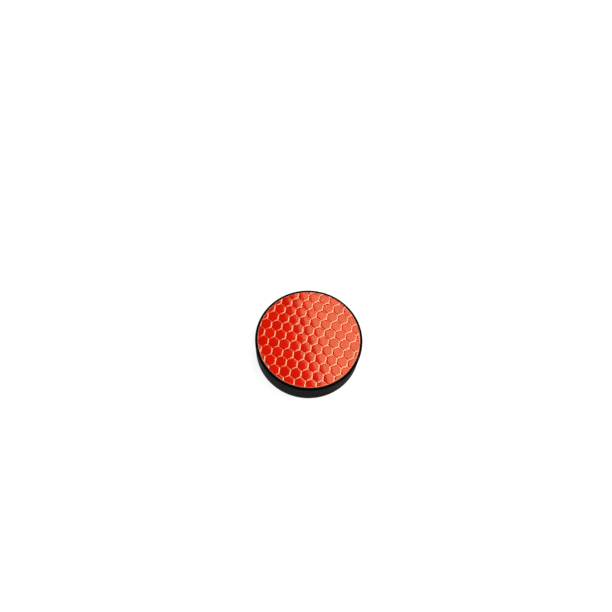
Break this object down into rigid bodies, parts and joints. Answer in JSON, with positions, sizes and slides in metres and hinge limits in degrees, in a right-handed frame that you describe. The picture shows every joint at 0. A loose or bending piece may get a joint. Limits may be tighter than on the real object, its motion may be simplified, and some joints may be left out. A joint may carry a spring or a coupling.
{
  "type": "bicycle rear reflector",
  "caption": "Round red rear reflector: a black plastic housing with a honeycomb reflective sheet, tied to a seat post or stay.",
  "frame": {"origin": "centre of the back rim, in the plane that rests on a table or against a tube", "axes": "+Z out of the red face, +Y along the cable-tie channel that lies nearer the back"},
  "size_m": [0.04, 0.04, 0.0107],
  "materials": {
    "housing_plastic": "black, satin, with fine print layers",
    "reflective_film": "glossy red film with pressed honeycomb lines"
  },
  "bodies": {
    "root": {"housing": "housing_plastic", "reflective_sheet": "reflective_film"}
  },
  "joints": []
}
